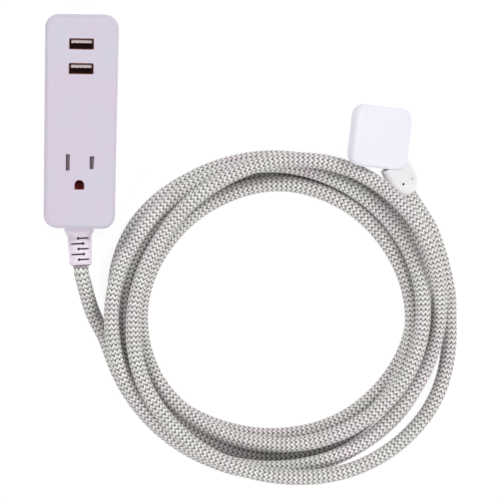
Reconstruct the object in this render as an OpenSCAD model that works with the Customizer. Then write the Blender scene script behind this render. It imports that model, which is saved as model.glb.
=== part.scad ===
// Extension cord with a power block: one grounded outlet, two charging ports, a braided cord and a plug.
// Millimetres, +Z up. The origin is the centre of the power block's back, on the surface that the cord
// lies on. +Y runs along the block towards its charging ports.

/* [Power block] */
// Length of the block
block_length = 114.4; // [106:0.1:140]
// Width of the block at the port end
block_width_port_end = 39.2; // [38:0.1:48]
// Width of the block at the cord end
block_width_cord_end = 37.8; // [37:0.1:48]
// Thickness of the block
block_thickness = 27; // [26:0.5:33]
// Radius of the block's corners, seen from the front
block_corner_radius = 7.2; // [5:0.1:9]
// Rounding of the block's long edges
block_edge_radius = 2.5; // [1:0.1:3]
// Thickness of the covers' walls
wall = 2.2; // [1.6:0.1:2.6]

/* [Charging ports] */
// Distance from the port end to the first port's centre
port_from_end = 15.95; // [15:0.05:20]
// Distance between the two ports
port_pitch = 13.2; // [11:0.1:16]
// Width of a port's metal shell, outside
port_width = 13.1; // [12.8:0.1:13.6]
// Height of a port's metal shell, outside
port_height = 5.7; // [5.5:0.1:6.2]
// Depth of a port's metal shell
port_depth = 13.4; // [12:0.1:14]
// Thickness of a port's sheet metal
port_sheet = 0.3; // [0.25:0.05:0.4]

/* [Outlet] */
// Distance from the cord end to the line of the blade slots
outlet_from_end = 35.1; // [34:0.1:42]
// Distance between the two blade slots
blade_pitch = 12.7; // [12.5:0.1:12.9]
// Distance from the line of the blade slots to the ground hole
ground_offset = 11.9; // [11.7:0.1:12.1]
// Length of the neutral slot
neutral_slot_length = 8.7; // [7.9:0.1:9]
// Length of the hot slot
hot_slot_length = 6.8; // [6.6:0.1:7.2]
// Width of the blade slots
slot_width = 2.1; // [1.9:0.1:2.4]
// Diameter of the ground hole's round side
ground_hole_diameter = 5.2; // [5:0.1:5.6]
// Travel of the shutter
shutter_travel = 2.6; // [2.2:0.1:3]

/* [Cord] */
// Diameter of the braided cord
cord_diameter = 8.2; // [7.4:0.1:8.3]
// Length of the slotted strain relief outside the block
relief_length = 20; // [16:0.5:24]
// Width of the strain relief at the block
relief_width = 13.3; // [12.4:0.1:14]
// Bend of the strain relief towards the coil
relief_bend = 4; // [0:0.5:6]

/* [Plug] */
// Side of the plug's square face
plug_side = 33.3; // [30:0.1:38]
// Thickness of the plug's moulding
plug_thickness = 9; // [8:0.5:11]
// Length of the blades
blade_length = 16; // [15:0.5:18]
// Width of the blades
blade_width = 6.35; // [6.2:0.05:6.5]
// Thickness of the blades
blade_thickness = 1.52; // [1.4:0.02:1.6]
// Diameter of the ground pin
ground_pin_diameter = 4.76; // [4.6:0.02:4.9]
// Length of the ground pin
ground_pin_length = 19.5; // [18:0.5:21]
// Lean of the plug as it lies on its pins
plug_lean = 23; // [20:1:25]
// Turn of the plug in the plane of the surface
plug_turn = -6; // [-8:1:0]

/* [Hidden] */
$fn = 32;

eps = 0.01;
lilac = "#d7cddc";
seat_gap = 0.3;
end_y = block_length / 2;
half_port_end = block_width_port_end / 2;
half_cord_end = block_width_cord_end / 2;
parting_z = block_thickness / 2;
face_z = block_thickness;
ceiling_z = face_z - wall;
floor_z = wall;
inner_half = half_cord_end - wall;

// ---- Covers -------------------------------------------------------------------------------------

// Corner of the block: a disc with rounded rims, from the back to the face.
module corner_post(r, rim, bottom, top) {
    rotate_extrude($fn = 40)
        intersection() {
            union() {
                translate([0, bottom + rim]) square([r, top - bottom - 2 * rim]);
                translate([0, bottom]) square([r - rim, top - bottom]);
                translate([r - rim, bottom + rim]) circle(rim, $fn = 24);
                translate([r - rim, top - rim]) circle(rim, $fn = 24);
            }
            translate([0, bottom]) square([r, top - bottom]);
        }
}

// The block's tapered outline with all its outer edges rounded, drawn in by inset.
module block_form(inset, rim, bottom, top) {
    r = block_corner_radius - inset;
    hull() {
        for (side = [-1, 1]) {
            translate([side * (half_port_end - block_corner_radius), end_y - block_corner_radius, 0])
                corner_post(r, rim, bottom, top);
            translate([side * (half_cord_end - block_corner_radius), block_corner_radius - end_y, 0])
                corner_post(r, rim, bottom, top);
        }
    }
}

// The same outline as a plain straight-sided solid, for cavities and lips.
module block_prism(inset, bottom, top) {
    r = block_corner_radius - inset;
    hull() {
        for (side = [-1, 1]) {
            translate([side * (half_port_end - block_corner_radius), end_y - block_corner_radius, bottom])
                cylinder(r = r, h = top - bottom);
            translate([side * (half_cord_end - block_corner_radius), block_corner_radius - end_y, bottom])
                cylinder(r = r, h = top - bottom);
        }
    }
}

// Shallow groove round the block where the two covers meet.
module seam_groove() {
    difference() {
        slab(-half_port_end - 5, half_port_end + 5, -end_y - 5, end_y + 5,
            parting_z - seam_height / 2, parting_z + seam_height / 2);
        block_prism(seam_depth, parting_z - seam_height, parting_z + seam_height);
    }
}

module slab(x0, x1, y0, y1, z0, z1) {
    translate([x0, y0, z0]) cube([x1 - x0, y1 - y0, z1 - z0]);
}

// A rectangle with round corners, made of true arcs.
module rounded_rect(w, h, r) {
    square([w - 2 * r, h], center = true);
    square([w, h - 2 * r], center = true);
    for (x = [-1, 1], y = [-1, 1]) translate([x * (w / 2 - r), y * (h / 2 - r)]) circle(r);
}

module rounded_bar(w, h, r, z0, z1) {
    translate([0, 0, z0]) linear_extrude(z1 - z0) rounded_rect(w, h, r);
}

port_y = [end_y - port_from_end, end_y - port_from_end - port_pitch];
outlet_y = outlet_from_end - end_y;
ground_y = outlet_y - ground_offset;
neutral_x = -blade_pitch / 2;
hot_x = blade_pitch / 2;

boss_radius = 2.9;
screw_x = inner_half - boss_radius - 0.3;
screw_y = [end_y - 6.6, 6.9 - end_y];
screw_places = [for (x = [-1, 1], y = screw_y) [x * screw_x, y]];
screw_shank = 2.5;
screw_head = 4.6;
screw_length = 10;
head_sink = 2.6;
boss_top = parting_z - 0.1;

lip_inset = wall / 2;
lip_height = 1.2;
seam_depth = 0.35;
seam_height = 0.4;
fit_gap = 0.1;

relief_collar_radius = 7.8;
relief_collar_length = 2.7;
relief_neck_radius = relief_width / 2 - 0.6;
cord_z = parting_z;
cord_radius = cord_diameter / 2;

// The cord entry in the end wall, shared by both covers.
module relief_gate() {
    translate([0, -end_y, cord_z]) rotate([90, 0, 0])
        cylinder(r = relief_neck_radius + fit_gap, h = 4 * wall, center = true);
}

shutter_thickness = 3;
shutter_z0 = ceiling_z - shutter_thickness - 0.3;
shutter_z1 = shutter_z0 + shutter_thickness;
shutter_half_y = neutral_slot_length / 2 + 1.4;
shutter_x0 = neutral_x - shutter_travel - 2.3;
shutter_x1 = hot_x + 2.2;
spring_length = 5;
spring_radius = 1.3;
spring_wire = 0.4;
spring_end_x = shutter_x1 + spring_length;
guide_wall = 1.2;
guide_z0 = shutter_z0 + 0.6;

module front_cover() color(lilac) {
    difference() {
        union() {
            difference() {
                block_form(0, block_edge_radius, 0, face_z);
                translate([0, 0, -eps]) block_prism(wall, 0, ceiling_z + eps);
                slab(-half_port_end - 5, half_port_end + 5, -end_y - 5, end_y + 5, -5, parting_z);
                // Rebate for the rear cover's lip.
                block_prism(lip_inset - fit_gap, parting_z - 1, parting_z + lip_height + fit_gap);
            }
            // Walls that hold the port shells.
            for (y = port_y) translate([0, y, 0])
                rounded_bar(port_width + 2.6, port_height + 2.6, 1.5, ceiling_z - 4, ceiling_z + eps);
            // Frame that guides the shutter, with a shelf for its spring.
            slab(shutter_x0 - guide_wall - seat_gap, spring_end_x + guide_wall,
                outlet_y - shutter_half_y - guide_wall - fit_gap,
                outlet_y + shutter_half_y + guide_wall + fit_gap, guide_z0, ceiling_z + eps);
            for (p = screw_places) translate([p.x, p.y, boss_top + 0.2])
                cylinder(r = boss_radius, h = ceiling_z - boss_top);
        }
        for (y = port_y) translate([0, y, 0])
            rounded_bar(port_width + 2 * fit_gap, port_height + 2 * fit_gap, 0.8, parting_z, face_z + 1);
        slab(shutter_x0 - seat_gap, spring_end_x, outlet_y - shutter_half_y - fit_gap,
            outlet_y + shutter_half_y + fit_gap, guide_z0 - 1, ceiling_z);
        translate([neutral_x, outlet_y, 0])
            rounded_bar(slot_width, neutral_slot_length, 0.3, ceiling_z - 1, face_z + 1);
        translate([hot_x, outlet_y, 0])
            rounded_bar(slot_width, hot_slot_length, 0.3, ceiling_z - 1, face_z + 1);
        translate([0, ground_y, 0]) ground_opening(ground_hole_diameter / 2, ceiling_z - 4, face_z + 1);
        for (p = screw_places) translate([p.x, p.y, 0])
            cylinder(d = screw_shank + 2 * fit_gap, h = head_sink + screw_length + 0.6);
        relief_gate();
        seam_groove();
    }
}

// Round towards the blade slots, flat on the side away from them.
module ground_opening(r, z0, z1) {
    translate([0, 0, z0]) linear_extrude(z1 - z0) {
        circle(r);
        translate([-r, 0.1 - r]) square([2 * r, r]);
    }
}

// Rear cover: a tub with screw bosses, posts for the board and a cradle for the cord.
board_before_port = 33.15;
board_y0 = port_y[1] - board_before_port;
board_y1 = end_y - wall - 5;
board_half_x = inner_half - 0.8;
board_thickness = 1.6;
port_z1 = face_z - 0.5;
board_top = port_z1 - port_depth - 0.05;
board_bottom = board_top - board_thickness;
post_places = [for (x = [-1, 1], y = [board_y0 + 4, (board_y0 + board_y1) / 2, board_y1 - 9])
    [x * (board_half_x - 2.5), y]];

clamp_y = wall + 5 - end_y;
clamp_screw_x = cord_diameter / 2 + 2.8;
clamp_pillar_radius = 2.2;
cradle_half_y = 2.2;

module rear_cover() color(lilac) {
    difference() {
        union() {
            difference() {
                block_form(0, block_edge_radius, 0, face_z);
                block_prism(wall, floor_z, face_z);
                slab(-half_port_end - 5, half_port_end + 5, -end_y - 5, end_y + 5, parting_z, face_z + 5);
            }
            // Raised lip that keys into the front cover.
            difference() {
                block_prism(lip_inset, parting_z - 1, parting_z + lip_height);
                block_prism(wall, parting_z - 2, face_z);
            }
            for (p = screw_places) translate([p.x, p.y, 0]) cylinder(r = boss_radius, h = boss_top);
            for (p = post_places) translate([p.x, p.y, floor_z - eps])
                cylinder(d = 4, h = board_bottom - floor_z - 0.05);
            // Cradle under the cord, with a pillar for each clamp screw.
            slab(-clamp_screw_x, clamp_screw_x, clamp_y - cradle_half_y,
                clamp_y + cradle_half_y, floor_z - eps, cord_z - 1.2);
            for (x = [-1, 1]) translate([x * clamp_screw_x, clamp_y, floor_z - eps])
                cylinder(r = clamp_pillar_radius, h = cord_z - floor_z + 1.2);
            // Ribs that the outlet carrier stands on.
            for (y = [-1, 1]) slab(-carrier_half_x + 2, carrier_half_x - 2, carrier_y + y * 9 - 0.7,
                carrier_y + y * 9 + 0.7, floor_z - eps, carrier_z0 - 0.05);
        }
        for (p = screw_places) translate([p.x, p.y, -eps]) {
            cylinder(d = screw_shank + 2 * fit_gap, h = face_z);
            cylinder(d = screw_head + 4 * fit_gap, h = head_sink);
        }
        translate([0, clamp_y, cord_z]) rotate([90, 0, 0])
            cylinder(r = cord_radius + fit_gap, h = 3 * cradle_half_y, center = true);
        for (x = [-1, 1]) translate([x * clamp_screw_x, clamp_y, floor_z + 1])
            cylinder(d = 2 + 2 * fit_gap, h = face_z);
        relief_gate();
        seam_groove();
    }
}

// A pan-head screw, head at z = 0 and shank upwards, with a cross recess.
module screw(shank, head, head_height, length) {
    difference() {
        union() {
            cylinder(d = head, h = head_height);
            cylinder(d = shank, h = head_height + length);
        }
        for (a = [0, 90]) rotate(a) slab(-head / 3, head / 3, -0.35, 0.35, -eps, head_height * 0.7);
    }
}

module cover_screws() color("silver") {
    for (p = screw_places) translate([p.x, p.y, head_sink - 1.9])
        screw(screw_shank, screw_head, 1.9 - 0.05, screw_length - 1);
}

// ---- Charging ports and their board --------------------------------------------------------------

port_z0 = board_top + 0.05;

module port_shell(y) color("gainsboro") translate([0, y, 0]) {
    difference() {
        rounded_bar(port_width, port_height, 0.7, port_z0, port_z1);
        rounded_bar(port_width - 2 * port_sheet, port_height - 2 * port_sheet, 0.4, port_z0 - 1, port_z1 + 1);
        // Windows that the two spring leaves are cut from.
        for (x = [-2.9, 2.9]) slab(x - 1.1, x + 1.1, -port_height, 0, port_z1 - 8.5, port_z1 - 2.4);
    }
    // The leaves bow inwards and grip the plug.
    for (x = [-2.9, 2.9]) translate([x, -port_height / 2 + port_sheet / 2, port_z1 - 5.4])
        rotate([90, 0, 90]) linear_extrude(1.7, center = true)
            polygon([[-0.15, -3.2], [0.15, -3.2], [0.85, -0.4], [0.85, 0.6], [0.35, 2.6],
                [0.1, 2.5], [0.55, 0.5], [0.55, -0.3]]);
}

tongue_width = 11.1;
tongue_thickness = 1.7;
tongue_y = 1.3;

module port_tongue(y) color("white") translate([0, y, 0]) {
    rounded_bar(port_width - 2 * port_sheet - 0.1, port_height - 2 * port_sheet - 0.1, 0.35,
        port_z0 + 0.3, port_z0 + 3.2);
    difference() {
        translate([0, tongue_y, 0])
            rounded_bar(tongue_width, tongue_thickness, 0.3, port_z0 + 3, port_z1 - 1);
        for (i = [0:3]) slab(contact_x(i) - 0.6, contact_x(i) + 0.6,
            0, tongue_y - tongue_thickness / 2 + 0.25, port_z0 + 3.4, port_z1 - 0.5);
    }
}

function contact_x(i) = [-3.5, -1, 1, 3.5][i];

module port_contacts(y) color("goldenrod") translate([0, y, 0]) {
    for (i = [0:3]) slab(contact_x(i) - 0.5, contact_x(i) + 0.5, tongue_y - tongue_thickness / 2 - 0.1,
        tongue_y - tongue_thickness / 2 + 0.2, port_z0 + 3.5, port_z1 - 1.6);
}

module charger_board() color("darkgreen") {
    difference() {
        slab(-board_half_x, board_half_x, board_y0, board_y1, board_bottom, board_top);
        for (p = screw_places) translate([p.x, p.y, board_bottom - 1])
            cylinder(r = boss_radius + 0.6, h = board_thickness + 2);
    }
}

component_z = board_top + 0.05;
transformer_y = board_y0 + 18;

// Ferrite halves round a wound bobbin with its tape.
module transformer() color("goldenrod") translate([-6.2, transformer_y, component_z]) {
    slab(-7, 7, -7.4, 7.4, 0, 1.6);
    for (x = [-1, 1]) slab(x * 6 - 1.2, x * 6 + 1.2, -6, 6, 1.6 - eps, 10);
    slab(-7.2, 7.2, -6, 6, 2.6, 4.4);
    slab(-7.2, 7.2, -6, 6, 7.6, 10);
    translate([0, 0, 1.6 - eps]) cylinder(r = 4.6, h = 8);
    for (x = [-1, 1], i = [-1:1]) translate([x * 6.4, i * 3, 0]) slab(-0.3, 0.3, -0.3, 0.3, 0, 2);
}

// A can capacitor standing on the board, with a rubber bung and a scored top.
module can(r, h) {
    difference() {
        union() {
            cylinder(r = r - 0.3, h = 1);
            translate([0, 0, 0.9]) cylinder(r = r, h = h - 0.9);
        }
        for (a = [45, 135]) translate([0, 0, h - 0.25]) rotate(a) slab(-r * 0.7, r * 0.7, -0.15, 0.15, 0, 1);
        translate([0, 0, 1.6]) rotate_extrude() translate([r + 0.1, 0]) circle(0.35, $fn = 16);
    }
}

module input_capacitor() color("black") translate([8, board_y0 + 7, component_z]) can(4, 10);

module output_capacitor() color("navy") translate([9.4, board_y0 + 24, component_z]) can(3.15, 9);

module control_chip() color("dimgray") translate([-7, board_y0 + 5, component_z]) {
    slab(-2.5, 2.5, -2, 2, 0.15, 1.6);
    for (i = [0:3], y = [-1, 1]) translate([-1.9 + i * 1.27, y * 2.5, 0]) slab(-0.2, 0.2, -0.6, 0.6, 0, 0.8);
}

module inductor() color("saddlebrown") translate([8.6, board_y0 + 16, component_z]) {
    rotate_extrude() difference() {
        square([3.2, 5]);
        translate([2.2, 1]) square([2, 3]);
    }
    rotate_extrude() translate([2.2 - eps, 1.05]) square([0.7, 2.9]);
}

// ---- Outlet --------------------------------------------------------------------------------------

carrier_half_x = inner_half - 1;
carrier_y0 = ground_y - 5;
carrier_y1 = outlet_y + 7.6;
carrier_y = (carrier_y0 + carrier_y1) / 2;
carrier_z0 = floor_z + 1.2;
carrier_z1 = shutter_z0 - seat_gap;
pocket_half_x = 3.2;
pocket_half_y = 4.9;
pocket_z0 = carrier_z0 + 1.4;
contact_leaf = 0.6;
contact_gap = blade_thickness - 0.3;
sleeve_inner = ground_pin_diameter / 2 + 0.06;
sleeve_outer = sleeve_inner + 0.5;
wire_radius = 1.1;
wire_x = 1.35;
wire_z = carrier_z0 + 5;

// Hard insulating block with one pocket for each contact and a channel for each wire.
module outlet_carrier() color("ivory") {
    difference() {
        slab(-carrier_half_x, carrier_half_x, carrier_y0, carrier_y1, carrier_z0, carrier_z1);
        for (x = [neutral_x, hot_x]) {
            slab(x - pocket_half_x, x + pocket_half_x, outlet_y - pocket_half_y,
                outlet_y + pocket_half_y, pocket_z0, carrier_z1 - 1.4);
            slab(x - 1.7, x + 1.7, outlet_y - pocket_half_y, outlet_y + pocket_half_y,
                carrier_z1 - 2, carrier_z1 + 1);
            slab(x * wire_x - 1.7, x * wire_x + 1.7, carrier_y0 - 1, outlet_y, wire_z - 1.8, wire_z + 1.8);
        }
        translate([0, ground_y, pocket_z0]) cylinder(r = sleeve_outer + 0.3, h = face_z);
        slab(-1.8, 1.8, carrier_y0 - 1, ground_y, wire_z - 1.8, wire_z + 1.8);
    }
}

// Two leaves that grip a blade, joined by a web at the bottom, with a crimp tail for the wire.
module blade_contact(x) {
    translate([x, outlet_y, 0]) {
        for (side = [-1, 1]) {
            translate([0, 4.2, 0]) rotate([90, 0, 0]) linear_extrude(8.4) polygon([
                [side * (contact_gap / 2), pocket_z0 + 9],
                [side * (contact_gap / 2 + contact_leaf), pocket_z0 + 9],
                [side * 2.9, pocket_z0 + 13.2], [side * 2.3, pocket_z0 + 13.2]]);
            translate([0, 4.2, 0]) rotate([90, 0, 0]) linear_extrude(8.4) polygon([
                [side * (contact_gap / 2), pocket_z0 + 9.05],
                [side * (contact_gap / 2 + contact_leaf), pocket_z0 + 9.05],
                [side * 2.9, pocket_z0 + 4], [side * 2.9, pocket_z0 + 0.1], [side * 2.3, pocket_z0 + 0.1],
                [side * 2.3, pocket_z0 + 4]]);
        }
        slab(-2.9, 2.9, -4.2, 4.2, pocket_z0 + 0.05, pocket_z0 + 0.7);
    }
    // Upright tab that the wire is welded to.
    slab(x * wire_x - 0.9, x * wire_x + 0.9, outlet_y - 4.8, outlet_y - 4.1, pocket_z0 + 0.05, wire_z + 1.6);
}

module neutral_contact() color("silver") blade_contact(neutral_x);

module hot_contact() color("goldenrod") blade_contact(hot_x);

sleeve_length = 9;
sleeve_z1 = carrier_z1 - 1;

// A split sleeve for the ground pin on a tail that reaches down to its wire.
module ground_contact() color("goldenrod") translate([0, ground_y, 0]) {
    difference() {
        translate([0, 0, sleeve_z1 - sleeve_length]) cylinder(r = sleeve_outer, h = sleeve_length);
        translate([0, 0, sleeve_z1 - sleeve_length - 1]) cylinder(r = sleeve_inner, h = sleeve_length + 2);
        slab(-0.4, 0.4, 0, 10, sleeve_z1 - sleeve_length - 1, sleeve_z1 + 1);
    }
    slab(-1.2, 1.2, -sleeve_outer, -sleeve_inner - 0.05, pocket_z0 + 0.05, sleeve_z1 - sleeve_length + eps);
}

// Sliding plate with a window beside each slot and a ramp behind it.
module shutter() color("thistle") {
    ramp_low = shutter_z0 + 0.7;
    difference() {
        slab(shutter_x0, shutter_x1, outlet_y - shutter_half_y, outlet_y + shutter_half_y,
            shutter_z0, shutter_z1);
        for (x = [neutral_x, hot_x]) {
            slab(x - shutter_travel - slot_width / 2 - 0.25, x - shutter_travel + slot_width / 2 + 0.25,
                outlet_y - neutral_slot_length / 2 - 0.3, outlet_y + neutral_slot_length / 2 + 0.3,
                shutter_z0 - 1, shutter_z1 + 1);
            translate([x, outlet_y + neutral_slot_length / 2 + 0.3, 0]) rotate([90, 0, 0])
                linear_extrude(neutral_slot_length + 0.6) polygon([
                    [-shutter_travel + slot_width / 2, shutter_z1 + 1],
                    [-shutter_travel + slot_width / 2, ramp_low],
                    [slot_width / 2 + 0.3, shutter_z1 - 0.2], [slot_width / 2 + 0.3, shutter_z1 + 1]]);
        }
        // Socket that the spring's end sits in.
        translate([shutter_x1 - 0.8, outlet_y, (shutter_z0 + shutter_z1) / 2]) rotate([0, 90, 0])
            cylinder(r = spring_radius + 0.12, h = 2);
    }
}

spring_turns = 6;
spring_steps = 12;
spring_start_x = shutter_x1 - 0.8 + 0.05;
spring_free = spring_end_x - 0.05 - spring_start_x;

function spring_point(i) = let (a = 360 * i / spring_steps, f = i / (spring_steps * spring_turns))
    [spring_start_x + spring_wire / 2 + f * (spring_free - spring_wire),
        outlet_y + (spring_radius - spring_wire / 2) * cos(a),
        (shutter_z0 + shutter_z1) / 2 + (spring_radius - spring_wire / 2) * sin(a)];

module shutter_spring() color("silver")
    tube([for (i = [0:spring_steps * spring_turns]) spring_point(i)], spring_wire / 2, 6, [1, 0, 0]);

// ---- Tubes: wires, leads and the coil ------------------------------------------------------------

function unit(v) = v / norm(v);

function heading(route, i) = unit(route[min(i + 1, len(route) - 1)] - route[max(i - 1, 0)]);

// One closed skin of triangles swept along a route. "up" is a direction that the route never takes.
module tube(route, r, sides, up = [0, 0, 1]) {
    last = len(route) - 1;
    rings = [for (i = [0:last]) let (t = heading(route, i), s = unit(cross(t, up)), u = cross(s, t))
        for (k = [0:sides - 1]) let (a = 360 * (k + 0.5) / sides) route[i] + r * (cos(a) * s + sin(a) * u)];
    skin = [for (i = [0:last - 1], k = [0:sides - 1]) let (a = i * sides + k, b = i * sides + (k + 1) % sides)
        each [[a, a + sides, b + sides], [a, b + sides, b]]];
    caps = [for (k = [1:sides - 2]) each [[0, k, k + 1],
        [last * sides, last * sides + k + 1, last * sides + k]]];
    polyhedron(points = rings, faces = concat(skin, caps));
}

// Smooth curve through chosen points, "steps" to each span, ends included.
function blend(a, b, c, d, f) = 0.5 * (2 * b + (c - a) * f + (2 * a - 5 * b + 4 * c - d) * f * f
    + (3 * b - a - 3 * c + d) * f * f * f);

function smooth(p, steps) = let (n = len(p) - 1) concat([for (i = [0:n - 1], k = [0:steps - 1])
    blend(p[max(i - 1, 0)], p[i], p[i + 1], p[min(i + 2, n)], k / steps)], [p[n]]);

sheath_end_y = clamp_y + 4;
wire_start_y = sheath_end_y + 0.05;

// A wire leaves the sheath beside its fellows, drops to its channel and runs along it to its tab.
module wire(x, tail_y) {
    start = [sign(x) * 1.7, wire_start_y, cord_z + (x == 0 ? 1.7 : -0.9)];
    drop = [x * 0.5, wire_start_y + 3.2, (start.z + wire_z) / 2 + 0.6];
    level = [x, carrier_y0 + 1.2, wire_z];
    curve = smooth([start + [0, 1, 0], drop, level - [0, 1.5, 0], level], 4);
    tube(concat([start], curve, [[x, tail_y, wire_z]]), wire_radius, 8);
}

module neutral_wire() color("white") wire(neutral_x * wire_x, outlet_y - 4.9);

module hot_wire() color("black") wire(hot_x * wire_x, outlet_y - 4.9);

module ground_wire() color("green") wire(0, ground_y - sleeve_outer - 0.1);

// ---- Cord clamp and strain relief ----------------------------------------------------------------

clamp_thickness = 2.4;
clamp_z = cord_z + 1.3;

// Bar across the sheath, hollowed to its round.
module cord_clamp() color("ivory") translate([0, clamp_y, 0]) difference() {
    union() {
        slab(-clamp_screw_x - 2.4, clamp_screw_x + 2.4, -2.6, 2.6, clamp_z, clamp_z + clamp_thickness);
        slab(-cord_radius - 0.6, cord_radius + 0.6, -2.6, 2.6, clamp_z, cord_z + cord_radius + 1.8);
    }
    translate([0, 0, cord_z]) rotate([90, 0, 0]) cylinder(r = cord_radius + 0.05, h = 10, center = true);
    for (x = [-1, 1]) translate([x * clamp_screw_x, 0, cord_z]) cylinder(d = 2.3, h = 20);
}

module clamp_screws() color("silver") {
    for (x = [-1, 1]) translate([x * clamp_screw_x, clamp_y, clamp_z + clamp_thickness + 1.55])
        rotate([180, 0, 0]) screw(2, 3.6, 1.5, 8);
}

relief_pivot = [0, -end_y, cord_z];
relief_heading = [sin(relief_bend), -cos(relief_bend), 0];
relief_tip = relief_pivot + relief_length * relief_heading;
relief_end_radius = relief_width / 2 - 0.5;
relief_core = cord_radius + 0.6;
relief_web = 3.4;
slit_width = 0.8;
slit_pitch = 2.85;
slit_count = 5;
slit_start = 5.3;
slit_dot = 1.5;
slit_reach = [0.7, 1.8];
rib_height = 0.3;

// The outward side of the end wall, with Z along the bent tail of the relief.
module along_tail() translate(relief_pivot) rotate([0, 0, relief_bend]) rotate([90, 0, 0]) children();

// Soft sleeve: a flange held in the end wall, a collar, and a slotted tail that lets the cord bend.
module block_relief() color("plum") difference() {
    union() {
        translate(relief_pivot) rotate([90, 0, 0]) rotate_extrude($fn = 48)
            polygon([[0, relief_collar_length - 0.9], [relief_collar_radius, relief_collar_length - 0.9],
                [relief_collar_radius, 0.05], [relief_neck_radius, 0.05], [relief_neck_radius, -wall - 0.05],
                [relief_neck_radius + 1.2, -wall - 0.05], [relief_neck_radius + 1.2, -wall - 1.6],
                [0, -wall - 1.6]]);
        along_tail() rotate_extrude($fn = 48)
            polygon(concat([[0, relief_length], [relief_end_radius - 1.6, relief_length],
                [relief_end_radius - 0.5, relief_length - 0.5], [relief_end_radius, relief_length - 1.3]],
                [for (i = [slit_count - 1:-1:0]) let (z = slit_start + i * slit_pitch)
                    each [[tail_radius(z) - rib_height, z],
                        [tail_radius(z - slit_pitch / 2), z - slit_pitch / 2]]],
                [[relief_collar_radius - 0.7, relief_collar_length - 0.1],
                [relief_collar_radius - 0.2, relief_collar_length - 1.1], [0, relief_collar_length - 1.1]]));
    }
    translate(relief_pivot) rotate([-90, 0, 0])
        translate([0, 0, -0.5]) cylinder(r = cord_radius + 0.12, h = wall + 10);
    along_tail() translate([0, 0, -0.3]) cylinder(r = cord_radius + 0.05, h = relief_length + 2);
    // Slits from alternate sides, above and below, each with a round end.
    for (i = [0:slit_count - 1], face = [-1, 1]) along_tail() slit(i, face);
}

// The tail narrows from the collar to its end; each rib stands out between two slits.
function tail_radius(z) = relief_width / 2 + (relief_end_radius - relief_width / 2) * z / relief_length;

module slit(i, face) {
    side = i % 2 == 0 ? 1 : -1;
    reach = slit_reach[i % 2];
    translate([0, 0, slit_start + i * slit_pitch]) difference() {
        union() {
            translate([side > 0 ? -reach : -12, face > 0 ? relief_web : -12, -slit_width / 2])
                cube([12 + reach, 12 - relief_web, slit_width]);
            translate([-side * reach, face > 0 ? 12 : -relief_web, 0]) rotate([90, 0, 0])
                cylinder(d = slit_dot, h = 12 - relief_web, $fn = 24);
        }
        cylinder(r = relief_core, h = 4, center = true);
    }
}

// End of the sheath, through the relief and under the clamp.
module cord_entry() color("gainsboro")
    tube([[0, sheath_end_y, cord_z], relief_pivot + [0, 2, 0], relief_pivot,
        relief_pivot + relief_length / 2 * relief_heading, relief_tip], cord_radius, 16);

// ---- Route of the cord ---------------------------------------------------------------------------

coil_centre = [107.1, -end_y - relief_length - 26.1, 0];
coil_half_x = 95;
coil_half_y = 89.1;
lay_step = 30;
rings_per_turn = 24;
coil_first = 195;
coil_last = 2160;

// How the turns lie: for each turn, from its left side and then every 30 degrees, how far the cord's
// centreline is inside the coil's outer oval and how high it is above the surface.
turn_lay = [
    [[2.5, 4.2], [4.8, 4.2], [5.8, 4.2], [6, 4.2], [9.5, 4.2], [11, 4.2],
        [13, 4.2], [9, 4.2], [5.5, 4.2], [3.5, 4.2], [3, 4.2], [2.5, 4.2]],
    [[8.5, 4.2], [17.5, 4.2], [23.5, 4.2], [26, 4.2], [26.5, 4.2], [26, 4.2],
        [22.5, 4.2], [18.5, 4.2], [14.5, 4.2], [12.5, 4.2], [12, 4.2], [12, 5.5]],
    [[13, 12.5], [12.5, 12], [15, 8.5], [15, 4.2], [18, 8], [21, 11.8],
        [23, 13], [22.5, 12.3], [19.5, 11.5], [17.5, 11.5], [19.5, 9.5], [21.5, 4.2]],
    [[21.5, 4.2], [21, 15], [21.5, 14.5], [21, 12], [20.5, 17], [19, 20.3],
        [17.5, 20], [14.5, 17], [11, 14], [7.5, 12.3], [6.5, 12.6], [6.5, 12.6]],
    [[6, 18.5], [6, 18], [7, 13.4], [8.5, 12.8], [10, 13.1], [11.5, 13.3],
        [9, 14], [3.8, 27], [1.6, 21], [5, 21], [12, 20], [18, 12.8]],
    [[18, 20], [13.5, 23], [9, 23], [4.6, 21.3], [-0.3, 15], [-1.4, 4.3], [3.2, 4.2], [3.5, 5]]];
lay_points = [for (turn = turn_lay) each turn];

function lay_at(angle) = let (u = (angle - 180) / lay_step, i = floor(u), n = len(lay_points) - 1)
    lay_between(blend(lay_points[max(i - 1, 0)], lay_points[i], lay_points[min(i + 1, n)],
        lay_points[min(i + 2, n)], u - i));

// No turn dips below the surface between two chosen places.
function lay_between(lay) = [lay[0], max(lay[1], cord_radius + 0.1)];

function oval(angle) = 1 / sqrt(pow(cos(angle) / coil_half_x, 2) + pow(sin(angle) / coil_half_y, 2));

function coil_point(angle) = let (lay = lay_at(angle), r = oval(angle) - lay[0])
    coil_centre + [r * cos(angle), r * sin(angle), lay[1]];

coil_start = coil_point(coil_first);
coil_end = coil_point(coil_last);
start_heading = unit(coil_point(coil_first + 2) - coil_start);
end_heading = unit(coil_end - coil_point(coil_last - 2));
coil_tail_in = coil_start - cord_diameter * start_heading;
coil_tail_out = coil_end + cord_diameter * end_heading;
coil_angles = [for (a = [coil_first:360 / rings_per_turn:coil_last]) a];
coil_route = concat([coil_tail_in], [for (a = coil_angles) coil_point(a)], [coil_tail_out]);

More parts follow.
